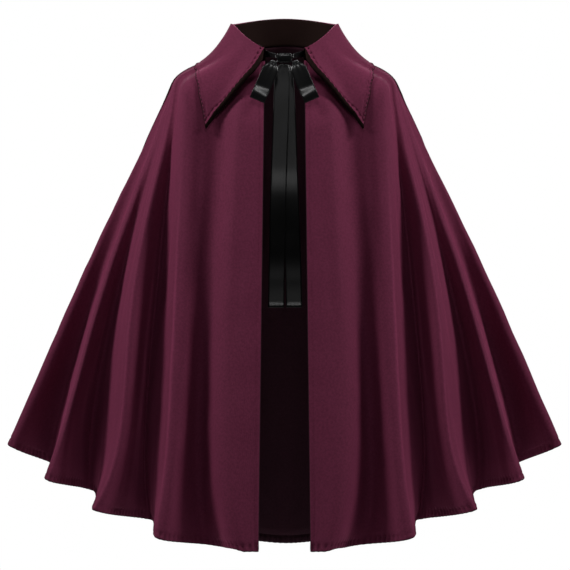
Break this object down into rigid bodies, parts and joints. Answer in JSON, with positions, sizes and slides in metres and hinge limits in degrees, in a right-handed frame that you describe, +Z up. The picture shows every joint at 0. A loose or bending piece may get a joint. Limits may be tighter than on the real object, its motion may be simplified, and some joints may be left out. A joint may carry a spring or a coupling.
{
  "type": "capelet",
  "caption": "Open-front capelet that drapes in deep soft folds from the shoulders, with a large pointed fall collar, a dark lining and a satin ribbon tied in a bow at the neck.",
  "frame": {"origin": "middle of the neck base, where the wearer's neck and shoulders hold the capelet", "axes": "+Z up, +X to the viewer's right seen from the front, the front faces -Y"},
  "size_m": [0.7978, 0.543, 0.7842],
  "materials": {
    "burgundy_cloth": "fine matt weave with a soft sheen on the folds",
    "dark_lining": "matt near-black lining",
    "black_satin": "glossy satin ribbon"
  },
  "bodies": {
    "root": {"front_left": "burgundy_cloth", "front_right": "burgundy_cloth", "back": "burgundy_cloth", "collar_fall": "burgundy_cloth", "lining_back": "dark_lining", "collar_stand": "dark_lining", "tie_left": "black_satin", "tie_right": "black_satin", "knot": "black_satin", "loop_left": "black_satin", "loop_right": "black_satin", "tail_left": "black_satin", "tail_right": "black_satin"}
  },
  "joints": []
}
